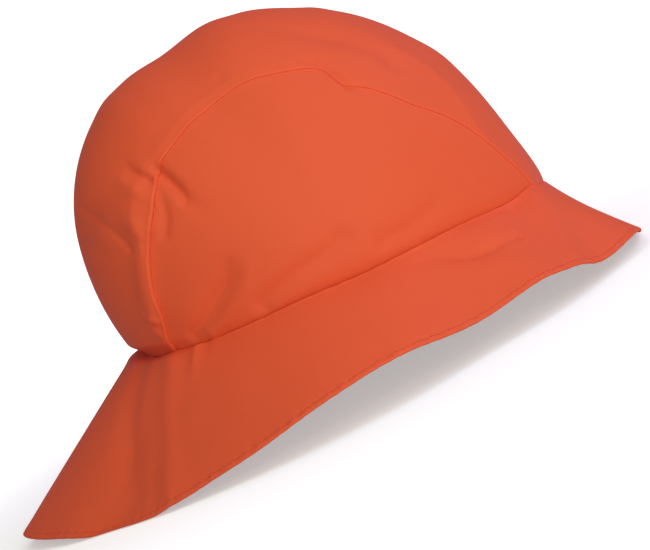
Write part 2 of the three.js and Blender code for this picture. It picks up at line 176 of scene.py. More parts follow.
# The same of the brim: degrees from the front (right negative), share of the way out, degrees from the way
# round, then length, width and height as shares of FRONT_REACH.
BRIM_FOLDS = (
    (-67, 0.35, 32, 0.5, 0.12, -0.03), (138, 0.5, 98, 0.6, 0.2, -0.03), (62, 0.5, -30, 0.5, 0.14, -0.02),
)


# Working out the shape

def read_table(rows, at, column, level=False):
    """Smooth curve through a table's rows: a cubic whose slopes come from the neighbouring rows. A level
    table goes on as its own mirror image past its ends, so its slope there is nothing."""
    table = np.array(rows, float)
    x, y, last = table[:, 0], table[:, column], len(table) - 1
    at = np.asarray(at, float)
    i = np.clip(np.searchsorted(x, at, side="left") - 1, 0, last - 1)
    step = x[i + 1] - x[i]

    def slope(k):
        low, high = np.clip(k - 1, 0, last), np.clip(k + 1, 0, last)
        rate = (y[high] - y[low]) / (x[high] - x[low]) * step
        return np.where((k == 0) | (k == last), 0, rate) if level else rate

    t = np.clip((at - x[i]) / step, 0, 1)
    rise = 3 * t**2 - 2 * t**3
    return (y[i] * (1 - rise) + y[i + 1] * rise
            + slope(i) * (t**3 - 2 * t**2 + t) + slope(i + 1) * (t**3 - t**2))


def bell(x, middle, wide, power=2):
    """Bell curve that is 1 in its middle. A higher power makes its top flat."""
    return np.exp(-(((x - middle) / wide) ** power))


def fade(x, wide):
    """Exponential that is 1 at nothing and falls off over a width."""
    return np.exp(-x / wide)


def run_along(line):
    """Distance along a row of points, from its first."""
    return np.append(0, np.cumsum(np.linalg.norm(np.diff(line, axis=0), axis=1)))


def unit(v):
    return v / np.maximum(np.linalg.norm(v, axis=-1, keepdims=True), TINY)


def outline_at(fan):
    """The crown's distance from the opening's middle, seen from the side."""
    return read_table(OUTLINE, fan, 1)


def fan_of(p):
    """Degrees over the top, from nothing at the front of the opening."""
    return np.degrees(np.arctan2(np.maximum(p[..., 2], 0), p[..., 0]))


def turn_of(p):
    """Degrees round the opening from the front, left positive."""
    return np.degrees(np.arctan2(p[..., 1], p[..., 0]))


def onto_crown(direction):
    """Stretches directions until (rho / outline)^n + |y|^n is 1, where rho is the length in the side view."""
    rho = np.hypot(direction[..., 0], direction[..., 2]) / outline_at(fan_of(direction))
    size = rho**ROUNDNESS + np.abs(direction[..., 1]) ** ROUNDNESS
    return direction * (size ** (-1 / ROUNDNESS))[..., None]


def crown_normal(p):
    """Outward direction on the crown, from the gradient of its formula."""
    fan = fan_of(p)
    out = outline_at(fan)
    rho = np.maximum(np.hypot(p[..., 0], p[..., 2]), TINY)
    ahead, behind = np.minimum(fan + NEAR, 180), np.maximum(fan - NEAR, 0)
    rate = (outline_at(ahead) - outline_at(behind)) / np.radians(ahead - behind)
    along_rho = (rho / out) ** (ROUNDNESS - 1) / out
    along_fan = -((rho / out) ** ROUNDNESS) * rate / out / rho
    across = np.sign(p[..., 1]) * np.abs(p[..., 1]) ** (ROUNDNESS - 1)
    x, z = p[..., 0] / rho, p[..., 2] / rho
    return unit(np.stack([along_rho * x - along_fan * z, across, along_rho * z + along_fan * x], -1) / HALF)


def brim_row(turn, column):
    """A column of the brim's table at a turn to either side."""
    nearest = (np.asarray(turn, float) + 180) % 360 - 180
    return read_table(BRIM, np.abs(nearest), column, level=True)


def rim_height(turn):
    """Height of the rim over the opening's plane, in units of CROWN_RISE."""
    return brim_row(turn, 1) * RIM_ARCH / CROWN_RISE


def rim_at(turn, raised=0.0):
    """Point of the rim, or one raised over it: its direction round the opening, stretched to the crown."""
    height = rim_height(turn) + raised / CROWN_RISE
    t = np.radians(turn)
    return onto_crown(np.stack([np.cos(t), np.sin(t), height], -1))


def crown_at(fan, side):
    """Point of the crown at an angle over the top and a share y of the half width: the outline times
    (1 - |y|^n)^(1/n)."""
    rho = outline_at(fan) * (1 - np.abs(side) ** ROUNDNESS) ** (1 / ROUNDNESS)
    t = np.radians(fan)
    return np.stack([rho * np.cos(t), side + 0 * rho, rho * np.sin(t)], -1)


def fold_height(fold, size, ahead, across):
    """Soft fold: its height fades as a bell curve along its line and, faster, beside it."""
    lie, long, wide, rise = np.radians(fold[2]), fold[3] * size, fold[4] * size, fold[5] * size
    along = (ahead * np.cos(lie) + across * np.sin(lie)) / long
    beside = (across * np.cos(lie) - ahead * np.sin(lie)) / wide
    return rise * np.exp(-(along**2) - beside**2)


def height_over_rim(p):
    """How high a point of the crown is over the rim below it."""
    return (p[..., 2] - rim_height(turn_of(p))) * CROWN_RISE


def soft_relief(p):
    """The folds of the crown and the pull of the rim seam, which the part's solids have too."""
    fan, side = fan_of(p), np.arcsin(np.clip(p[..., 1], -1, 1))
    relief = -RIM_TUCK * fade(np.maximum(height_over_rim(p), 0), TUCK_HEIGHT)
    for fold in CROWN_FOLDS:
        ahead = np.radians(fan - fold[0]) * CROWN_RISE
        across = (side - np.radians(fold[1])) * HEAD_WIDTH / 2
        relief = relief + fold_height(fold, CROWN_RISE, ahead, across)
    return relief


def rear_share(turn):
    """How much of the deeper rear seam a place round the rim has: a flat-topped bell curve."""
    return bell(np.abs(turn), 180, REAR_SPREAD, 4)


def rear_pull(turn, near, normal):
    """At the back the rim seam is drawn in and down, under the crown, and the cloth near it follows."""
    return -(normal * REAR_TUCK + UP * REAR_DROP) * (rear_share(turn) * near)[..., None]


def seam_at(fan, hand, moved=0.0):
    """The seam's share of the half width at an angle over the top, on the left (1) or the right (-1)."""
    side = np.where(hand < 0, read_table(SEAM, fan, 1), read_table(SEAM, fan, 2))
    return hand * (side + moved / HALF[1])


def line_end(share, hand, moved, back):
    """Where a line at a share of the seam's distance meets the rim: its angle over the top and its turn."""
    fan = np.full(np.shape(share), 180.0 if back else 0.0)
    turn = fan.copy()
    for _ in range(PASSES):
        y = share * seam_at(fan, hand, moved)
        sine = np.sin(np.radians(turn))
        off_line = np.abs(sine) > TINY
        stretch = np.where(off_line, rim_at(turn, SEAM_GAP)[..., 1] / np.where(off_line, sine, 1), 1)
        lean = np.degrees(np.arcsin(np.clip(y / stretch, -1, 1)))
        turn = hand * 180 - lean if back else lean
        fan = fan_of(rim_at(turn, SEAM_GAP))
    return fan, turn


# Fine creases

def line_field(points, path):
    """Distance of each point to a path of straight steps, and the share of the path at its nearest place."""
    flat = points.reshape(-1, 3)
    best = np.full(len(flat), np.inf)
    share = np.zeros(len(flat))
    lengths = np.linalg.norm(np.diff(path, axis=0), axis=1)
    starts = np.append(0, np.cumsum(lengths))
    for k, (a, b) in enumerate(zip(path[:-1], path[1:])):
        t = np.clip((flat - a) @ (b - a) / max(lengths[k] ** 2, TINY), 0, 1)
        away = np.linalg.norm(flat - a - t[:, None] * (b - a), axis=1)
        closer = away < best
        best[closer] = away[closer]
        share[closer] = ((starts[k] + t * lengths[k]) / starts[-1])[closer]
    return best.reshape(points.shape[:-1]), share.reshape(points.shape[:-1])


def smooth_path(rows, count=16):
    """Places on a curve through a few rows of two numbers, at even steps."""
    rows = np.array(rows, float)
    keyed = np.column_stack([np.arange(len(rows)), rows])
    at = np.linspace(0, len(rows) - 1, count)
    return read_table(keyed, at, 1), read_table(keyed, at, 2)


# Creases of the crown. Path: degrees over the top and share of the half width. Then depth at its start and
# at its end, and width, in millimetres. Negative depth is a ridge.
CROWN_CREASES = (
    (((135.6, -0.67), (136.4, -0.72), (138, -0.765), (140.6, -0.785)), 2.4, 1.2, 1.7),
    (((139.6, -0.75), (141.6, -0.79)), -0.3, -0.5, 1.8),
    (((140.6, -0.705), (143, -0.726), (146.5, -0.74), (150, -0.735)), 1, 1.3, 2.8),
    (((138, -0.55), (138.6, -0.61), (138.6, -0.66)), 0.4, 1.4, 1.8),
    (((141.6, -0.54), (142, -0.6), (142.2, -0.64)), -0.4, -0.7, 2.2),
    (((150.6, -0.6), (151.2, -0.64), (151.5, -0.665)), -0.4, -0.6, 1.7),
    (((149, -0.2), (150.8, -0.4), (152.6, -0.53), (155.2, -0.6)), 0.4, 0.9, 2.2),
    (((147.4, -0.6), (147.8, -0.64), (148, -0.67)), 0.2, 0.6, 1.5),
    (((156.5, -0.05), (156, -0.25), (157, -0.45)), 0.6, 0.3, 2.4),
    (((169.6, -0.53), (170.8, -0.57), (171.4, -0.595)), -0.4, -0.6, 1.6),
    (((172.4, -0.54), (173.2, -0.57), (173.4, -0.585)), 0.5, 0.7, 1.6),
    (((177, -0.69), (173, -0.77), (165, -0.85), (156.5, -0.88)), 1.6, 0.9, 3.4),
    (((178.4, -0.76), (174.5, -0.825), (166, -0.892), (156, -0.918)), -1.5, -0.8, 3.6),
    (((172.5, -0.915), (160.5, -0.965), (139, -0.988), (102, -0.989)), 1.8, 1.3, 4.4),
    (((40, -0.99), (24, -0.968), (19.5, -0.914)), 1.2, 0.8, 4),
    (((67.4, -0.742), (71, -0.705), (75, -0.66), (80.5, -0.625)), 1.3, 0.4, 1.5),
    (((64.6, -0.76), (70, -0.735), (74.6, -0.69)), -0.6, -0.4, 1.6),
    (((88, -0.36), (74.5, -0.493), (65.5, -0.55), (57.8, -0.544)), 0.4, 0.6, 4.6),
    (((53.6, -0.59), (52.8, -0.61)), 0.6, 0.6, 2.2),
    (((105.5, -0.585), (105, -0.6)), 0.5, 0.5, 2.2),
    (((38, -0.2), (37, 0), (38, 0.2)), -1, -1, 12),
    (((70, -0.3), (70, 0.3)), -0.6, -0.6, 7),
    (((128, -0.52), (128, 0.52)), -0.9, -0.9, 8),
)

# Creases of the brim. Path: degrees from the front, right negative, and share of the way out.
BRIM_CREASES = (
    (((-76, 0.06), (-70, 0.3), (-64, 0.41), (-55, 0.42)), 0.6, 1.3, 2.4),
    (((-48, 0.13), (-53, 0.24)), 0.5, 0.3, 2.6),
    (((-148, 0.02), (-145.5, 0.15), (-143.8, 0.36), (-140.2, 0.67), (-138, 0.9)), -1.3, -0.8, 6),
    (((-163, 0.08), (-159, 0.33), (-155, 0.53), (-149, 0.8)), 1.9, 1.1, 8.5),
    (((-158, 0.3), (-153, 0.61), (-154, 0.8)), 0.3, 0.3, 4.2),
    (((-138.5, 0.03), (-137.5, 0.2)), -1, -0.2, 2.6),
    (((-144.5, 0.72), (-141.8, 0.96)), 0.3, 0.3, 3.6),
    (((-140.8, 0.74), (-138.4, 0.97)), -0.3, -0.25, 3.2),
    (((-134.5, 0.03), (-133.5, 0.14)), 0.3, 0.1, 2.4),
    (((-33, 0.02), (-41, 0.3), (-46, 0.6), (-51, 1)), -2.6, -1.8, 9),
    (((-42, 0.07), (-60, 0.05)), 0.5, 0.3, 2.4),
    (((-97, 0.62), (-95, 0.9)), 0.35, 0.5, 4),
    (((62, 0.2), (56, 0.5), (50, 0.8)), 0.6, 0.3, 4),
    (((138, 0.1), (141, 0.5), (143, 0.85)), 0.8, 0.4, 7),
)


def creases(points, rows, place):
    """Depth of all creases of a piece at its points: each fades as a bell curve beside its path."""
    depth = np.zeros(points.shape[:-1])
    for path, first, last, wide in rows:
        away, share = line_field(points, place(*smooth_path(path)))
        depth += (first + (last - first) * share) * MM * bell(away, 0, wide * MM)
    return depth


RANDOM = np.random.default_rng(11)
WAVES = [(unit(RANDOM.normal(size=3)), RANDOM.uniform(0, 2 * math.pi)) for _ in range(10)]


def slack(points, wave, height):
    """Gentle unevenness of cloth that hangs slack: ten sine waves that cross it in different directions."""
    total = np.zeros(points.shape[:-1])
    for k, (way, start) in enumerate(WAVES):
        total += np.sin(points @ way * 2 * math.pi / (wave * (0.7 + 0.08 * k)) + start)
    return total * height / math.sqrt(len(WAVES))


def gathers(row, along, away):
    """Uneven gathers along a seam: two sine waves whose pitches nearly agree, so that they come and go, and
    which fade as an exponential beside the seam."""
    height, pitch, start, wide = row
    a = np.sin(2 * math.pi * along / (pitch * MM) + start)
    b = np.sin(2 * math.pi * along / (pitch * 1.37 * MM) + 2.1 * start)
    return height * MM * (a + b) / 2 * fade(away, wide * MM)


def rolled_edge(away, radius):
    """How far a cloth's outside drops where it rolls in at its edge: a quarter circle."""
    inside = np.clip(radius - away, 0, radius)
    return radius - np.sqrt(np.maximum(radius**2 - inside**2, 0))


# Crown pieces

def crown_place(fan, side):
    """Point of the crown in metres, before it leans."""
    return crown_at(fan, side) * HALF


def seam_distance(p):
    """Distance across the crown to the nearer seam, positive on the strip."""
    fan, side = fan_of(p), p[..., 1]
    line = np.abs(seam_at(fan, np.where(side < 0, -1, 1)))
    return (np.arcsin(np.clip(line, 0, 1)) - np.arcsin(np.clip(np.abs(side), 0, 1))) * HEAD_WIDTH / 2


# The strip's soft corner: degrees over the top, distance from the seam and height, in millimetres
CORNER = (
    (0, 1.2, 2.4), (20, 1.4, 2.4), (28, 8, 2.5), (36, 18, 2.7), (44, 25, 2.3), (54, 27, 1.8), (64, 22, 0.9),
    (76, 8, 0.6), (90, 4.5, 0.8), (118, 4.8, 1.1), (132, 4, 1.2), (138, 7, 2), (142, 8.5, 2.4),
    (147, 9, 2.5), (150, 6.5, 2.4), (156, 2.8, 2.2), (166, 2.4, 1.8), (170, 5, 1.8), (172.5, 7, 1.8),
    (176, 2.4, 1.2), (180, 1.4, 1),
)


def strip_corner(seam, fan):
    """The strip bends over a soft corner beside its seam: a height that fades as an exponential, quickly
    towards the seam and slowly towards the middle of the strip."""
    corner = read_table(CORNER, fan, 1) * MM
    past = seam - corner
    to_seam = CORNER_FADES[1] + corner / 2 + FRONT_FADE * bell(fan, 0, FRONT_FAN)
    round_off = np.sqrt(past**2 + CORNER_ROUND**2) - CORNER_ROUND
    return read_table(CORNER, fan, 2) * MM * fade(round_off, np.where(past > 0, CORNER_FADES[0], to_seam))


def crown_relief(p):
    """How far the crown's outside stands over the formula's surface: soft folds, the strip's corner, a valley
    and a thin ridge at the seam, the sunk sides, gathers and slack, less the creases. Also the distances to
    the seam and over the rim."""
    base, seam, fan, turn = p * HALF, seam_distance(p), fan_of(p), turn_of(p)
    away, over_rim = np.abs(seam), np.maximum(height_over_rim(p), 0)
    along = np.radians(fan) * outline_at(fan) * CROWN_RISE
    rear = 1 / (1 + np.exp((REAR_FROM - fan) / REAR_ONSET))
    shape = strip_corner(seam, fan) - VALLEY * fade(away, VALLEY_WIDE)
    shape -= np.where(seam < 0, (PANEL_SINK + REAR_SINK * rear) * fade(away, PANEL_WIDE), 0)
    shape += np.where(seam > 0, (RIDGE + REAR_RIDGE * rear) * bell(away, RIDGE_AT, RIDGE_WIDE), 0)
    shape -= RIM_SINK * bell(np.abs(turn), SIDES_AT, SIDES_WIDE, 4) * fade(over_rim, RIM_SINK_WIDE)
    most_at, spread, most, least = REAR_GATHERS
    shape += (most * bell(fan, most_at, spread) + least) * gathers(SEAM_GATHERS, along, away)
    shape += gathers(RIM_GATHERS, np.radians(turn) * HALF[1], over_rim)
    shape += soft_relief(p) + slack(base, *CROWN_SLACK)
    shape += RIM_TUCK * rear_share(turn) * fade(over_rim, TUCK_HEIGHT)
    return shape - creases(base, CROWN_CREASES, crown_place), away, over_rim


def crown_levels(p):
    """The formula's surface with the pull at the back, which the crown follows up to a step and then quickly
    not at all, its outward direction, and what crown_relief gives."""
    relief, away, over_rim = crown_relief(p)
    normal = crown_normal(p)
    pull = rear_pull(turn_of(p), bell(over_rim, 0, REAR_FADE, 4), normal)
    return p * HALF + pull, normal, relief, away, over_rim


def crown_shell(p):
    """Outer and inner points of the crown's cloth: the relief, with the outside rolled in at every edge."""
    base, normal, relief, away, over_rim = crown_levels(p)
    roll = rolled_edge(away, EDGE_ROLL) + rolled_edge(over_rim, RIM_ROLL)
    outer = base + normal * (relief - np.minimum(roll, RIM_ROLL))[..., None]
    return outer, base + normal * (relief - CLOTH)[..., None], away, over_rim


def crowded(steps, ends):
    """Shares from 0 to 1 whose steps shrink towards both ends, by a sine taken off an even count."""
    t = np.linspace(0, 1, steps + 1)
    return t - (1 - ends) * np.sin(2 * math.pi * t) / (2 * math.pi)


def strip_places():
    """The strip: lines at shares of the seam's distance, run over the top from rim to rim."""
    u = crowded(STRIP_STEPS[0], 0.3)[:, None]
    share = 2 * crowded(STRIP_STEPS[1], 0.16)[None, :] - 1
    hand = np.where(share < 0, -1, 1)
    front, back = (line_end(np.abs(share), hand, -SEAM_GAP / 2, end)[0] for end in (False, True))
    fan = front + (back - front) * u
    return crown_at(fan, np.abs(share) * seam_at(fan, hand, -SEAM_GAP / 2))


def side_places(hand):
    """A side panel: lines from places on the rim straight up to places on the seam, swelled to the crown."""
    u = crowded(SIDE_STEPS[0], 0.2)[:, None]
    v = crowded(SIDE_STEPS[1], 0.16)[None, :, None]
    one = np.ones(1)
    front_fan, front_turn = line_end(one, hand, SEAM_GAP / 2, False)
    back_fan, back_turn = line_end(one, hand, SEAM_GAP / 2, True)
    low = rim_at(front_turn + (back_turn - front_turn) * u, SEAM_GAP)
    fan = front_fan + (back_fan - front_fan) * u
    high = crown_at(fan, seam_at(fan, hand, SEAM_GAP / 2))
    return onto_crown(low * (1 - v) + high * v)


# Brim

def hem_out(turn):
    """How far the hem reaches past the part's edge: a bell curve less in front."""
    return HEM_OUT * (1 - bell(turn, 0, FRONT_SPREAD))


def brim_frame(turn):
    """Where the brim leaves the rim: its start, the way down its slope, the way over it, its reach, and the
    crown's outward direction there."""
    reach = FRONT_REACH + (FLAP_REACH - FRONT_REACH) * brim_row(turn, 2)
    fall = np.radians(np.where(turn < 0, brim_row(turn, 3), brim_row(turn, 4)))[..., None]
    rim = rim_at(turn)
    normal = crown_normal(rim)
    start = rim * HALF + normal * soft_relief(rim)[..., None]
    outward = unit(np.cross((rim_at(turn + NEAR) - rim_at(turn - NEAR)) * HALF, UP))
    down = outward * np.cos(fall) - UP * np.sin(fall)
    over = outward * np.sin(fall) + UP * np.cos(fall)
    return start, down, over, reach + hem_out(turn), normal


def brim_base(turn, share):
    """Top of the brim: straight down the slope, with a bow, a sag in front, the soft folds that the solid has
    too, and at the back the pull of the rim seam and a shoulder outside it."""
    start, down, over, reach, normal = brim_frame(turn)
    relief = BRIM_BOW * np.sin(math.pi * np.sqrt(share))
    relief = relief - FRONT_HOLLOW * bell(turn, 0, FRONT_SPREAD) * np.sin(math.pi * share**0.8)
    grown = np.minimum(share / FOLD_START, 1)
    for fold in BRIM_FOLDS:
        apart = np.radians((turn - fold[0] + 180) % 360 - 180) * (HALF[1] + share * reach)
        relief = relief + grown * fold_height(fold, FRONT_REACH, apart, (share - fold[1]) * reach)
    out = share * reach
    untuck = RIM_TUCK * rear_share(turn) * fade(out, TUCK_HEIGHT)
    pull = rear_pull(turn, bell(out, 0, BRIM_FADE), normal) + normal * untuck[..., None]
    relief = relief + REAR_SHOULDER * rear_share(turn) * bell(out, SHOULDER_AT, SHOULDER_WIDE)
    return start + down * out[..., None] + over * relief[..., None] + pull


def edge_length(turn):
    """Distance along the brim's edge from the back, at given turns and at each turn of a fine list."""
    fine = np.linspace(-180, 180, EDGE_STEPS + 1)
    run = run_along(brim_base(fine, np.ones_like(fine)))
    return np.interp(turn, fine, run), fine, run


def brim_top(turn, share):
    """Top of the brim with creases, slack, gathers at the rim and beside the hem's stitches, a groove under
    the stitches and a lip along the rim."""
    base = brim_base(turn, share)
    _, _, over, reach, _ = brim_frame(turn)
    out = share * reach
    from_stitch = reach - HEM_WIDTH - out
    relief = gathers(BRIM_GATHERS, np.radians(turn) * HALF[1], out)
    relief = relief + gathers(HEM_GATHERS, edge_length(turn)[0], np.abs(from_stitch))
    relief -= GROOVE * bell(from_stitch, 0, GROOVE_WIDE)
    relief += slack(base, *BRIM_SLACK) * np.minimum(out / TAUT, 1)
    relief += LIP_HEIGHT * bell(np.abs(turn), LIP_SIDE, LIP_SPREAD, 4) * bell(out, LIP_AT, LIP_WIDE)
    relief -= creases(base, BRIM_CREASES, brim_base) + rolled_edge(out, BRIM_ROLL)
    return base + over * relief[..., None]


def brim_sheets():
    """Brim cloth inside the line of stitches: top, underside one cloth lower, and distance from the rim."""
    turn = np.linspace(-180, 180, BRIM_STEPS[0], endpoint=False)[:, None]
    _, _, over, reach, normal = brim_frame(turn)
    inner = 1 - HEM_WIDTH / reach
    share = crowded(BRIM_STEPS[1], 0.2)[None, :] * inner
    turn = turn + 0 * share
    top = brim_top(turn, share)
    leave = np.minimum(share * reach / HEM_WIDTH, 1)[..., None]
    plain = top + over * rolled_edge(share * reach, BRIM_ROLL)[..., None]
    bottom = plain - CLOTH * (normal * (1 - leave) + over * leave)
    return top, bottom, share * reach


def hem_profile():
    """Section of the turned hem as (distance in from the edge, depth under the top): along the top, round
    the edge in a half circle, back under past the stitches, and up to the cloth's end."""
    r, end = HEM_CLOTH / 2, CLOTH + 0.06 * MM
    top = [(x, 0) for x in np.linspace(HEM_WIDTH, r, 8)]
    arc = [(r - r * math.sin(a), r - r * math.cos(a)) for a in np.linspace(0, math.pi, 9)[1:]]
    under = [(x, HEM_CLOTH) for x in np.linspace(r, HEM_WIDTH + HEM_TURN, 8)[1:]]
    close = [(HEM_WIDTH + HEM_TURN, end), (HEM_WIDTH, end)]
    return np.array(top + arc + under + close)


def hem_ring():
    """The hem: its section carried round the brim's edge, puffed up a little at each stitch by a cosine
    wave. Also the middle of its cloth."""
    turn = np.linspace(-180, 180, HEM_STEPS, endpoint=False)[:, None]
    profile = hem_profile()
    _, _, over, reach, _ = brim_frame(turn)
    distance, deep = profile[None, :, 0], profile[None, :, 1]
    share = 1 - distance / reach
    top = brim_top(turn + 0 * share, share)
    wave = np.cos(2 * math.pi * edge_length(turn)[0] / STITCH)
    puff = PUFF * wave * bell(distance, HEM_WIDTH, PUFF_WIDE)
    middle = top - over * (HEM_CLOTH / 2)
    return top - over * (deep - np.where(deep < HEM_CLOTH / 2, puff, 0))[..., None], middle


def hem_stitches(side):
    """Stitches of the hem, on its top (side 1) or underside (-1): six-sided sections carried along each
    thread, which stands up as half a cosine wave between the two holes that it dips into."""
    _, fine, run = edge_length(0)
    count = round(run[-1] / STITCH)
    stations, sides = STITCH_STEPS
    along = np.linspace(-1, 1, stations)
    at = (np.arange(count)[:, None] + 0.5) * run[-1] / count + along * STITCH_SHARE / 2 * STITCH
    turn = np.interp(at, run, fine)
    _, down, over, reach, _ = brim_frame(turn)
    top = brim_top(turn, 1 - HEM_WIDTH / reach)
    lift = THREAD * (0.85 * np.cos(math.pi / 2 * along) - 0.45)
    deep = np.where(side > 0, 0, HEM_CLOTH)
    centre = top + over * (side * lift - deep)[..., None]
    radius = THREAD / 2 * (1 - 0.4 * along**4)[None, :, None, None]
    turned = np.radians(np.arange(sides) * 360 / sides)[:, None]
    ring = np.cos(turned) * down[:, :, None] + np.sin(turned) * over[:, :, None]
    middle = np.broadcast_to((top - over * HEM_CLOTH / 2)[:, :, None], ring.shape)
    return centre[:, :, None] + radius * ring, middle


def stitch_faces(count):
    """Four-cornered faces round one thread and over its two six-cornered ends, repeated for every stitch."""
    stations, sides = STITCH_STEPS
    k, j = np.meshgrid(np.arange(stations - 1), np.arange(sides), indexing="ij")
    nxt = (j + 1) % sides
    ahead = (k + 1) * sides
    skin = np.stack([k * sides + j, k * sides + nxt, ahead + nxt, ahead + j], -1).reshape(-1, 4)
    last = (stations - 1) * sides
    ends = np.array([[3, 2, 1, 0], [5, 4, 3, 0], [last, last + 1, last + 2, last + 3],
                     [last, last + 3, last + 4, last + 5]])
    one = np.concatenate([skin, ends])
    return (one[None] + np.arange(count)[:, None, None] * stations * sides).reshape(-1, 4)


# Seam allowances inside the crown

def under_crown(p, depth):
    """Points at a depth under the crown's outside."""
    base, normal, relief, _, _ = crown_levels(p)
    return base + normal * (relief - depth)[..., None]


def seam_tape(hand):
    """Cloth turned back on both sides of a crown seam, from just over the rim in front to the same behind."""
    front, back = (line_end(np.ones(1), hand, 0.0, end)[0][0] for end in (False, True))
    fan = np.linspace(front + TAPE_START, back - TAPE_START, TAPE_STEPS[0])[:, None]
    across = np.linspace(-TAPE / 2, TAPE / 2, TAPE_STEPS[1])[None, :] / HALF[1]
    return crown_at(fan + 0 * across, seam_at(fan, hand) + across)


def rim_tape():
    """Cloth of crown and brim turned up inside along the rim."""
    turn = np.linspace(-180, 180, RIM_TAPE_STEPS[0], endpoint=False)[:, None]
    raised = np.linspace(0.4 * MM, TAPE / 2, RIM_TAPE_STEPS[1])[None, :]
    return rim_at(turn + 0 * raised, raised)


# Setting the hat down

def resting_pose():
    """Lean and lift at which the edge rests: the lowest line over two points of the edge, seen from the
    side, that passes under the middle of the opening."""
    turn = np.arange(-180.0, 180.0, REST_STEP)
    _, _, over, reach, _ = brim_frame(turn)
    edge = brim_base(turn, 1 - hem_out(turn) / reach) - over * BRIM_WALL
    fore, aft = edge[edge[:, 0] > 0], edge[edge[:, 0] < 0]
    slope = (fore[:, None, 2] - aft[None, :, 2]) / (fore[:, None, 0] - aft[None, :, 0])
    height = fore[:, None, 2] - slope * fore[:, None, 0]
    k = height.argmin()
    lean = math.atan(slope.flat[k])
    return lean, -height.flat[k] * math.cos(lean) - FLOOR_PRESS


LEAN, LIFT = resting_pose()


def leaned(points):
    """Turns points by the lean, about the sideways axis, and lifts them."""
    c, s = math.cos(LEAN), math.sin(LEAN)
    x, y, z = np.moveaxis(points, -1, 0)
    return np.stack([x * c + z * s, y, -x * s + z * c + LIFT], -1)


def middle_shift():
    """Moves the hat so that its brim has the middle of the part's brim."""
    turn = np.linspace(-180, 180, EDGE_STEPS // 2)
    edge = leaned(brim_base(turn, 1 - hem_out(turn) / brim_frame(turn)[3]))
    low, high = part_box("brim")
    return (np.array(low) + high - edge.min(0) - edge.max(0)) / 2 * (1, 1, 0)


SHIFT = middle_shift()


def set_down(points, middle, thick):
    """Leans and lifts points, then raises those whose cloth would sink into the floor, softly: the height h
    of the cloth becomes the half of h + sqrt(h squared + PRESS_ROUND squared)."""
    points, middle = leaned(points), leaned(middle)
    over_floor = middle[..., 2] - thick / 2
    raised = (over_floor + np.sqrt(over_floor**2 + PRESS_ROUND**2)) / 2
    return points + UP * (raised - over_floor)[..., None] + SHIFT


def cloth_down(outer, inner, thick):
    """Sets both sides of a cloth down, by its middle."""
    middle = (outer + inner) / 2
    return set_down(outer, middle, thick), set_down(inner, middle, thick)


# Meshes

def add_object(name, data):
    made = bpy.data.objects.new(name, data)
    SCENE.collection.objects.link(made)
    return made


def as_row(values, kind=np.float32):
    """Values as the one row that foreach_set takes."""
    return values.astype(kind).ravel()


def add_piece(name, points, faces, uv, material, values=None, replaces=None, rim_faces=0):
    """Mesh from points and faces of four corners, turned over where the volume in them comes out negative. A
    face with a repeated corner becomes a triangle. The last rim_faces are a cloth's cut edge, which is shaded
    apart from its two sides."""
    a, b, c, d = (points[faces[:, k]] for k in range(4))
    if (a * np.cross(b, c)).sum() + (a * np.cross(c, d)).sum() < 0:
        faces, uv = faces[:, ::-1], uv[:, ::-1]
    smooth = np.arange(len(faces)) < len(faces) - rim_faces
    keep = faces != np.roll(faces, -1, axis=1)
    whole = keep.sum(1) >= 3
    faces, keep, uv, smooth = faces[whole], keep[whole], uv[whole], smooth[whole]
    sizes = keep.sum(1)
    mesh = bpy.data.meshes.new(name)
    mesh.vertices.add(len(points))
    mesh.vertices.foreach_set("co", as_row(points))
    mesh.loops.add(int(sizes.sum()))
    mesh.loops.foreach_set("vertex_index", as_row(faces[keep], np.int32))
    mesh.polygons.add(len(faces))
    mesh.polygons.foreach_set("loop_start", as_row(np.cumsum(sizes) - sizes, np.int32))
    mesh.update(calc_edges=True)
    mesh.uv_layers.new(name="cloth").data.foreach_set("uv", as_row(uv[keep]))
    for key, value in (values or {"seam": np.ones(len(points)), "inside": np.zeros(len(points))}).items():
        mesh.attributes.new(key, "FLOAT", "POINT").data.foreach_set("value", as_row(value))
    mesh.polygons.foreach_set("use_smooth", smooth)
    piece = add_object(name, mesh)
    mesh.materials.append(material)
    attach(piece, "root")
    if replaces:
        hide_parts(replaces)
    return piece


def arc_map(points):
    """Flat place of each point of a grid, as cloth is woven: lengths along the middle line and across."""
    across = np.linalg.norm(np.diff(points, axis=1), axis=2)
    middle = points.shape[1] // 2
    u = run_along(points[:, middle])
    v = np.pad(np.cumsum(across, axis=1), ((0, 0), (1, 0)))
    return np.stack([np.broadcast_to(u[:, None], v.shape), v - v[:, middle:middle + 1]], -1)


def corners(grid):
    """The four corners of each cell of a grid."""
    return np.stack([grid[:-1, :-1], grid[1:, :-1], grid[1:, 1:], grid[:-1, 1:]], 2)


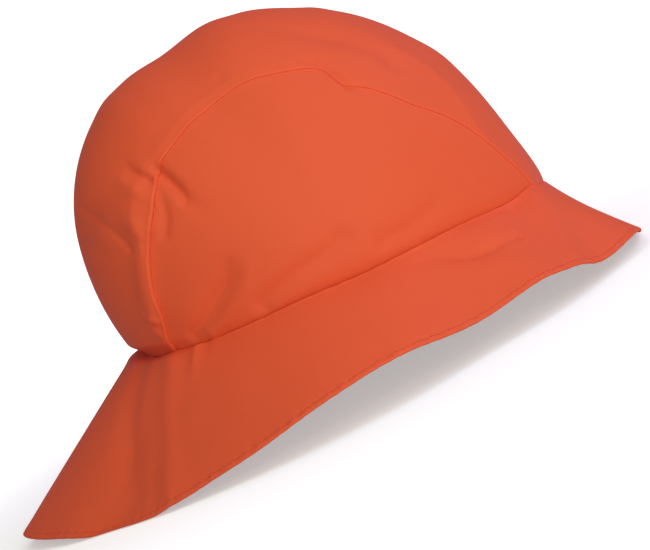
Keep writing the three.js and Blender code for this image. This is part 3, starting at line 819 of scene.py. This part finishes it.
def shell(name, outer, inner, seam=None, ring=False, pointed=False, lining=False, replaces=None):
    """Closed cloth from two grids: the outside, the inside turned over, and a strip along each border. A
    ring's last row joins its first. A pointed piece has one point for the whole of its first and last row."""
    rows, cols = outer.shape[:2]
    index = np.arange(rows * cols).reshape(rows, cols)
    if pointed:
        index[0], index[-1] = index[0, 0], index[-1, 0]
    uv = arc_map(outer)
    if ring:
        index = np.vstack([index, index[:1]])
        uv = np.concatenate([uv, 2 * uv[-1:] - uv[-2:-1]])
    under = index + rows * cols
    top, top_uv = corners(index).reshape(-1, 4), corners(uv).reshape(-1, 4, 2)
    faces = [top, (top + rows * cols)[:, ::-1]]
    maps = [top_uv, top_uv[:, ::-1]]
    grids = (index, under, uv)
    borders = [[g[:, 0][::-1] for g in grids], [g[:, -1] for g in grids]]
    if not ring:
        borders += [[g[0] for g in grids], [g[-1][::-1] for g in grids]]
    for upper, lower, flat in borders:
        faces.append(np.stack([upper[1:], upper[:-1], lower[:-1], lower[1:]], -1))
        maps.append(np.stack([flat[1:], flat[:-1], flat[:-1], flat[1:]], -2))
    one = np.ones(rows * cols)
    seam = one if seam is None else seam.ravel()
    values = {"seam": np.concatenate([seam, seam]), "inside": np.concatenate([one * lining, one])}
    points = np.concatenate([outer.reshape(-1, 3), inner.reshape(-1, 3)])
    return add_piece(name, points, np.concatenate(faces), np.concatenate(maps), CLOTH_MATERIAL, values,
                     replaces, sum(map(len, faces[2:])))


def tube_of_sections(name, sections):
    """Skin over a row of closed sections: each joined to the next, and the last to the first."""
    rows, cols = sections.shape[:2]
    index = np.pad(np.arange(rows * cols).reshape(rows, cols), ((0, 1), (0, 1)), "wrap")
    wrapped = np.pad(sections, ((0, 1), (0, 1), (0, 0)), "wrap")
    uv = np.stack(np.meshgrid(run_along(wrapped[:, 0]), run_along(wrapped[0]), indexing="ij"), -1)
    faces, maps = corners(index).reshape(-1, 4), corners(uv).reshape(-1, 4, 2)
    return add_piece(name, sections.reshape(-1, 3), faces, maps, CLOTH_MATERIAL)


# Camera

def add_camera():
    """The photograph's camera: where it stands, what it looks at, its roll, and its lens."""
    data = bpy.data.cameras.new("photo_camera")
    data.lens, data.sensor_width = 156.93, 36
    data.clip_start, data.clip_end = 0.05, 100
    camera = add_object("photo_camera", data)
    place, aim = Vector((-0.09, -1.289, 0.1951)), Vector((0.0193, -0.0023, 0.0483))
    camera.location = place
    camera.rotation_mode = "QUATERNION"
    roll = Quaternion((0, 0, 1), math.radians(-27.12))
    camera.rotation_quaternion = (aim - place).to_track_quat("-Z", "Y") @ roll
    SCENE.camera = camera


add_camera()


# Materials

THREADS = 2000.0  # crossings of threads in a metre of cloth
SEAM_HIGHLIGHT_WIDE = 0.7 * MM  # distance from a seam over which its painted highlight fades


def new_group(name, place, numbers, outputs):
    """A node group with one vector and some numbers as inputs and numbers as outputs."""
    group = bpy.data.node_groups.new(name, "ShaderNodeTree")
    group.interface.new_socket(name=place, in_out="INPUT", socket_type="NodeSocketVector")
    for label, value in numbers.items():
        socket = group.interface.new_socket(name=label, in_out="INPUT", socket_type="NodeSocketFloat")
        socket.default_value = value
    for label in outputs:
        group.interface.new_socket(name=label, in_out="OUTPUT", socket_type="NodeSocketFloat")
    return group, group.nodes.new("NodeGroupInput").outputs, group.nodes.new("NodeGroupOutput")


def new_material(name):
    material = bpy.data.materials.new(name)
    material.use_nodes = True
    return material, material.node_tree, material.node_tree.nodes["Principled BSDF"]


def fill(tree, node, inputs):
    """Sets a node's inputs to values, or links sockets to them."""
    for label, value in inputs.items():
        if isinstance(value, bpy.types.NodeSocket):
            tree.links.new(value, node.inputs[label])
        else:
            node.inputs[label].default_value = value
    return node


def add_node(tree, kind, inputs=None, **settings):
    node = tree.nodes.new("ShaderNode" + kind)
    for key, value in settings.items():
        setattr(node, key, value)
    return fill(tree, node, inputs or {})


def math_node(tree, operation, *values):
    """A Math node whose inputs are numbers or sockets; gives its output socket."""
    return add_node(tree, "Math", dict(enumerate(values)), operation=operation).outputs[0]


def times(tree, a, b):
    return math_node(tree, "MULTIPLY", a, b)


def weighted(tree, total, *terms):
    """Sum of a number and of sockets times their weights."""
    for socket, weight in terms:
        total = math_node(tree, "ADD", times(tree, socket, weight), total)
    return total


def noise(tree, vector, scale, detail=2.0):
    inputs = {"Vector": vector, "Scale": scale, "Detail": detail, "Roughness": 0.5}
    return add_node(tree, "TexNoise", inputs).outputs["Fac"]


def weave_group():
    """Plain weave: warp and weft threads as two crossed sine waves that pass over and under in turn, with
    drawn-out noise for the unevenness of the thread."""
    tree, given, out = new_group("plain_weave", "Cloth", {"Threads": THREADS}, ("Height", "Fleck"))
    split = add_node(tree, "SeparateXYZ", {0: given["Cloth"]}).outputs
    turns = times(tree, given["Threads"], math.pi)
    warp, weft = (math_node(tree, "SINE", times(tree, split[k], turns)) for k in (0, 1))
    drawn = add_node(tree, "VectorMath", {0: given["Cloth"], 1: (300, 1500, 1)}, operation="MULTIPLY")
    slub = noise(tree, drawn.outputs[0], 1.0)
    height = math_node(tree, "ADD", times(tree, times(tree, warp, weft), 0.5), slub)
    fill(tree, out, {"Height": height, "Fleck": slub})
    return tree


def tone_group():
    """Uneven tone of worn cloth: broad soft blotches, fine grain, and a painted highlight that makes the
    colour lighter along the seams.
    """
    tree, given, out = new_group("cloth_tone", "Place", {"Seam": 1.0, "Fleck": 0.5}, ("Tone", "Rub"))
    blotch = noise(tree, given["Place"], 14.0, 3.0)
    grain = noise(tree, given["Place"], 900.0)
    near = math_node(tree, "EXPONENT", times(tree, given["Seam"], -1 / SEAM_HIGHLIGHT_WIDE))
    # near is a painted highlight: the colour is lighter within a fraction of a millimetre of a seam, where
    # the seam's lip catches the light.
    tone = weighted(tree, 0.90, (blotch, 0.10), (grain, 0.05), (given["Fleck"], 0.05), (near, 0.11))
    rub = math_node(tree, "ADD", times(tree, blotch, 0.12), grain)
    fill(tree, out, {"Tone": tone, "Rub": rub})
    return tree


WEAVE, TONE = weave_group(), tone_group()


def cloth_material(name, colour, lining, rough, sheen):
    """Coated woven cloth: its own colour outside, a duller one inside, weave and grain in the bump."""
    material, tree, shader = new_material(name)
    place = add_node(tree, "TexCoord").outputs["Object"]
    flat = add_node(tree, "UVMap", uv_map="cloth").outputs[0]
    seam = add_node(tree, "Attribute", attribute_name="seam").outputs["Fac"]
    inside = add_node(tree, "Attribute", attribute_name="inside").outputs["Fac"]
    weave = add_node(tree, "Group", {"Cloth": flat, "Threads": THREADS}, node_tree=WEAVE).outputs
    tone = {"Place": place, "Seam": seam, "Fleck": weave["Fleck"]}
    tone = add_node(tree, "Group", tone, node_tree=TONE).outputs
    mix = {"Factor": inside, "A": (*colour, 1), "B": (*lining, 1)}
    mix = add_node(tree, "Mix", mix, data_type="RGBA").outputs["Result"]
    shade = add_node(tree, "VectorMath", {0: mix, "Scale": tone["Tone"]}, operation="SCALE")
    bump = {"Strength": 0.25, "Distance": 0.06 * MM, "Height": weave["Height"]}
    fill(tree, shader, {
        "Base Color": shade.outputs[0], "Roughness": weighted(tree, rough, (tone["Rub"], 0.1)),
        "Normal": add_node(tree, "Bump", bump).outputs[0], "Specular IOR Level": 0.22,
        "Sheen Weight": sheen, "Sheen Roughness": 0.35, "Sheen Tint": (1.0, 0.2, 0.25, 1),
    })
    return material


CLOTH_MATERIAL = cloth_material("coated_cloth_orange", (0.78, 0.107, 0.0315), (0.60, 0.09, 0.034), 0.58, 0.12)
THREAD_MATERIAL = cloth_material("sewing_thread_orange", (0.72, 0.1, 0.04), (0.72, 0.1, 0.04), 0.6, 0.2)


# Pieces of the hat

def crown_piece(name, places, node, pointed=False):
    """A crown piece set down on the floor. A pointed one keeps one point at each end."""
    outer, inner, away, over_rim = crown_shell(places)
    outer, inner = cloth_down(outer, inner, CLOTH)
    if pointed:
        for grid in (outer, inner):
            grid[0], grid[-1] = grid[0, 0], grid[-1, 0]
    # Distance to the nearest seam or the rim, near which the cloth's colour carries a painted highlight.
    return shell(name, outer, inner, np.minimum(away, over_rim), pointed=pointed, replaces=node)


STRIP = crown_piece("strip_cloth", strip_places(), "crown_strip")
RIGHT = crown_piece("right_panel_cloth", side_places(-1), "crown_side_right", pointed=True)
LEFT = crown_piece("left_panel_cloth", side_places(1), "crown_side_left", pointed=True)

TOP, BOTTOM, OUT = brim_sheets()
BRIM_SIDES = cloth_down(TOP, BOTTOM, CLOTH)
# The brim's distance to that line, along which its colour carries a painted highlight.
BRIM_CLOTH = shell("brim_cloth", *BRIM_SIDES, np.abs(OUT - HIGHLIGHT_LINE), ring=True, replaces="brim")

SECTIONS, MIDDLES = hem_ring()
HEM = tube_of_sections("brim_hem", set_down(SECTIONS, MIDDLES, HEM_CLOTH))


def add_stitches(name, side):
    """One mesh of all the hem's stitches on one side of the cloth."""
    rings, middle = hem_stitches(side)
    points = set_down(rings, middle, HEM_CLOTH).reshape(-1, 3)
    faces, sides = stitch_faces(len(rings)), STITCH_STEPS[1]
    uv = np.stack([faces // sides * STITCH / 7, faces % sides * THREAD / 2], -1)
    return add_piece(name, points, faces, uv, THREAD_MATERIAL)


def add_tape(name, places, depth, ring=False):
    """A flat band of cloth lying under the crown's own."""
    sides = cloth_down(under_crown(places, depth), under_crown(places, depth + TAPE_CLOTH), TAPE_CLOTH)
    return shell(name, *sides, ring=ring, lining=True)


STITCHES = [add_stitches("hem_stitches_top", 1), add_stitches("hem_stitches_under", -1)]
TAPES = [
    add_tape("right_seam_tape", seam_tape(-1), CLOTH + 0.1 * MM),
    add_tape("left_seam_tape", seam_tape(1), CLOTH + 0.1 * MM),
    add_tape("rim_tape", rim_tape(), CLOTH + 0.8 * MM, ring=True),
]

# Floor and light
FLOOR_RADIUS, FLOOR_SIDES = 40, 96
GLOW_FROM, GLOW_TO = 0.12, 0.55  # distances between which the floor goes over into the white surround
FLOOR_GLOW = 0.42  # light that the floor near the hat shows the camera besides what falls on it
FLOOR_FILL = 0.05  # light that the floor gives off, which softens the shadow inside the hat


def add_floor():
    """Pale floor, a disc that melts into the white surround far from the hat."""
    mesh = bpy.data.meshes.new("pale_floor")
    turn = np.linspace(0, 2 * math.pi, FLOOR_SIDES, endpoint=False)
    ring = np.stack([np.cos(turn), np.sin(turn), 0 * turn], -1) * FLOOR_RADIUS
    mesh.from_pydata(ring.tolist(), [], [list(range(FLOOR_SIDES))])
    floor = add_object("pale_floor", mesh)
    material, tree, shader = new_material("pale_floor")
    place = add_node(tree, "TexCoord").outputs["Object"]
    length = add_node(tree, "VectorMath", {0: place}, operation="LENGTH").outputs["Value"]
    ramp = {"Value": length, "From Min": GLOW_FROM, "From Max": GLOW_TO, "To Min": FLOOR_GLOW, "To Max": 1.0}
    ramp = add_node(tree, "MapRange", ramp, interpolation_type="SMOOTHSTEP").outputs["Result"]
    seen = add_node(tree, "LightPath").outputs["Is Camera Ray"]
    glow = times(tree, math_node(tree, "SUBTRACT", ramp, FLOOR_FILL), seen)
    fill(tree, shader, {
        "Base Color": (0.84, 0.92, 0.83, 1), "Roughness": 0.9, "Specular IOR Level": 0.1,
        "Emission Color": (1, 1, 1, 1), "Emission Strength": math_node(tree, "ADD", glow, FLOOR_FILL),
    })
    mesh.materials.append(material)


# Lights: degrees round from the hat's right side towards its front, degrees up, power and colour
LIGHTS = (
    ("low_light", 5, 6, 14, (1, 1, 1)), ("key_light", 35, 35, 5, (1, 1, 1)),
    ("front_light", 95, 35, 7, (0.56, 0.42, 1)), ("top_light", 0, 80, 4.3, (1, 1, 1)),
)
LIGHT_DISTANCE, LIGHT_SIZE, LIGHT_TARGET = 1.7, 1.0, (0, 0, 0.08)


def add_light(name, azimuth, elevation, power, colour):
    """Square soft light that faces the hat."""
    data = bpy.data.lights.new(name, "AREA")
    data.shape, data.size, data.energy, data.color = "SQUARE", LIGHT_SIZE, power, colour
    light = add_object(name, data)
    a, e = math.radians(azimuth), math.radians(elevation)
    way = Vector((math.sin(a) * math.cos(e), -math.cos(a) * math.cos(e), math.sin(e)))
    light.location = Vector(LIGHT_TARGET) + way * LIGHT_DISTANCE
    light.rotation_mode = "QUATERNION"
    light.rotation_quaternion = (-way).to_track_quat("-Z", "Y")


add_floor()
for light_row in LIGHTS:
    add_light(*light_row)


def add_surround(strength):
    """White where the camera looks past the hat, and a dimmer, slightly pink light on it from all round."""
    world = bpy.data.worlds.new("white_surround")
    SCENE.world = world
    world.use_nodes = True
    tree = world.node_tree
    around = fill(tree, tree.nodes["Background"], {"Color": (1.0, 0.84, 0.93, 1), "Strength": strength})
    white = add_node(tree, "Background", {"Color": (1, 1, 1, 1)})
    seen = add_node(tree, "LightPath").outputs["Is Camera Ray"]
    mix = add_node(tree, "MixShader", {0: seen, 1: around.outputs[0], 2: white.outputs[0]})
    fill(tree, tree.nodes["World Output"], {"Surface": mix.outputs[0]})


add_surround(0.26)
SCENE.view_settings.view_transform = "Standard"
